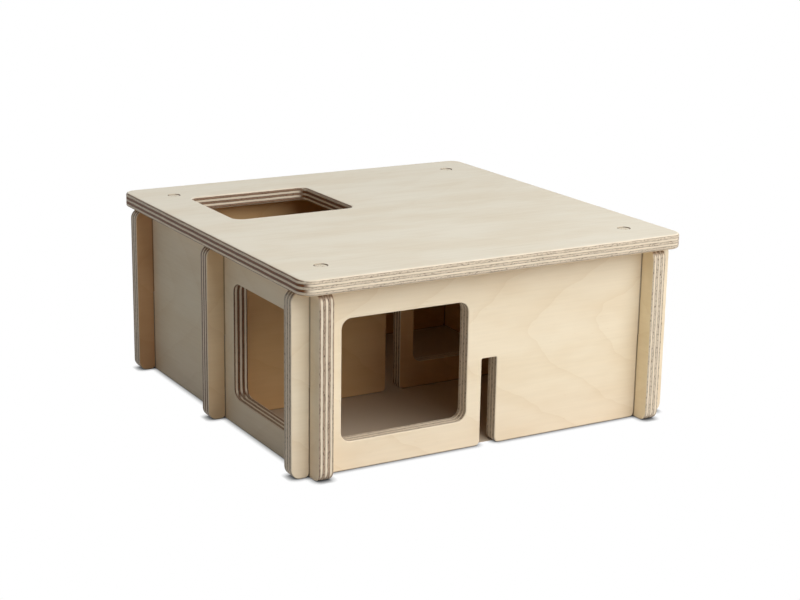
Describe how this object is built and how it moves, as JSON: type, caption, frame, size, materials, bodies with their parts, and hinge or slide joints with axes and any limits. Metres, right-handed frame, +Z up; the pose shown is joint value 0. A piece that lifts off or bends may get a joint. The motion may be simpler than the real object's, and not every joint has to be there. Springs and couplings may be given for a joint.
{
  "type": "hamster house",
  "caption": "Low square plywood hideout for small pets: interlocking slotted walls, rounded entrance and window, and a lift-off roof with an opening, located by corner pegs.",
  "frame": {"origin": "on the ground below the middle of the house, the bottom centre of its bounding box", "axes": "+X to the right along the front wall, +Y from the front wall to the back wall, +Z up"},
  "size_m": [0.25, 0.255, 0.114],
  "materials": {
    "birch_plywood": "sanded, untreated, plies showing on every edge",
    "birch_dowel": "sanded, untreated, end grain up"
  },
  "bodies": {
    "walls": {"front_wall": "birch_plywood", "middle_wall": "birch_plywood", "back_wall": "birch_plywood", "left_wall": "birch_plywood", "right_wall": "birch_plywood"},
    "lid": {"roof": "birch_plywood", "front_left_peg": "birch_dowel", "front_right_peg": "birch_dowel", "back_left_peg": "birch_dowel", "back_right_peg": "birch_dowel"}
  },
  "joints": [
    {"name": "roof_lift", "type": "slide", "parent": "walls", "child": "lid", "axis": [0, 0, 1], "range_m": [0, 0.06]}
  ]
}
